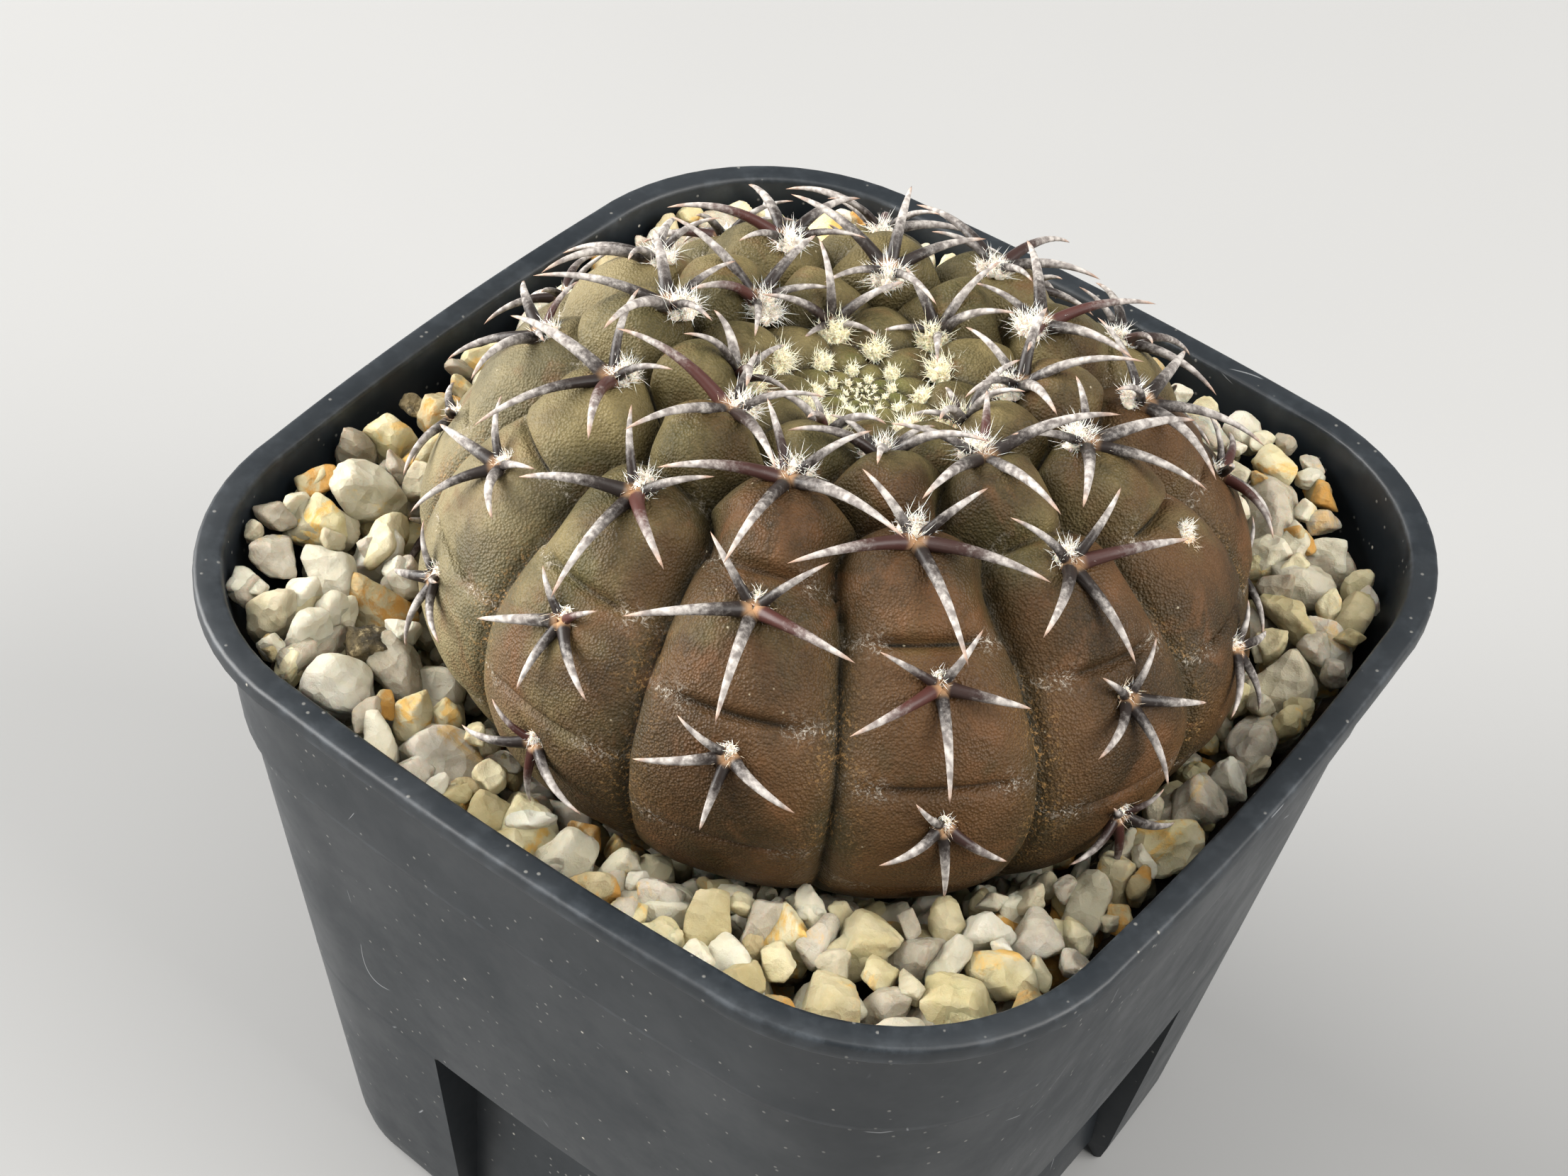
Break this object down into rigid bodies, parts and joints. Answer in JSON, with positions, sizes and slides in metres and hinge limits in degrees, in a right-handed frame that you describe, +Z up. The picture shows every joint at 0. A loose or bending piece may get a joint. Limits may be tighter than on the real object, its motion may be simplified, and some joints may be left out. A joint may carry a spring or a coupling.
{
  "type": "potted round cactus",
  "caption": "Flattened round cactus with broad chinned ribs and curved radial spines, in a square black nursery pot dressed with pale grit.",
  "frame": {"origin": "on the ground under the middle of the pot", "axes": "+Z up, X and Y along the pot's sides"},
  "size_m": [0.0762, 0.0762, 0.0873],
  "materials": {
    "pot_plastic": "satin moulded, scuffed",
    "soil": "rough crumb",
    "grit": "broken quartz",
    "skin": "living skin, fine leathery grain",
    "root": "corky",
    "wool": "felt",
    "spines": "horny, chalky towards the tips"
  },
  "bodies": {
    "root": {"cactus_body": "skin", "taproot": "root", "crown_wool": "wool", "spine_cluster_2_1": "spines", "spine_cluster_7_1": "spines", "spine_cluster_12_1": "spines", "spine_cluster_4_1": "spines", "spine_cluster_9_1": "spines", "spine_cluster_1_1": "spines", "spine_cluster_6_1": "spines", "spine_cluster_11_1": "spines", "spine_cluster_3_1": "spines", "spine_cluster_8_1": "spines", "spine_cluster_13_1": "spines", "spine_cluster_5_1": "spines", "spine_cluster_10_1": "spines", "spine_cluster_2_2": "spines", "spine_cluster_7_2": "spines", "spine_cluster_12_2": "spines", "spine_cluster_4_2": "spines", "spine_cluster_9_2": "spines", "spine_cluster_1_2": "spines", "spine_cluster_6_2": "spines", "spine_cluster_11_2": "spines", "spine_cluster_3_2": "spines", "spine_cluster_8_2": "spines", "spine_cluster_13_2": "spines", "spine_cluster_5_2": "spines", "spine_cluster_10_2": "spines", "spine_cluster_2_3": "spines", "spine_cluster_7_3": "spines", "spine_cluster_12_3": "spines", "spine_cluster_4_3": "spines", "spine_cluster_9_3": "spines", "spine_cluster_1_3": "spines", "spine_cluster_6_3": "spines", "spine_cluster_11_3": "spines", "spine_cluster_3_3": "spines", "spine_cluster_8_3": "spines", "spine_cluster_13_3": "spines", "spine_cluster_5_3": "spines", "spine_cluster_10_3": "spines", "spine_cluster_2_4": "spines", "spine_cluster_7_4": "spines", "spine_cluster_12_4": "spines", "spine_cluster_4_4": "spines", "spine_cluster_9_4": "spines", "spine_cluster_1_4": "spines", "spine_cluster_6_4": "spines", "spine_cluster_11_4": "spines", "spine_cluster_3_4": "spines", "spine_cluster_13_4": "spines", "spine_cluster_5_4": "spines", "pot": "pot_plastic", "potting_soil": "soil", "gravel_bed": "grit"}
  },
  "joints": []
}
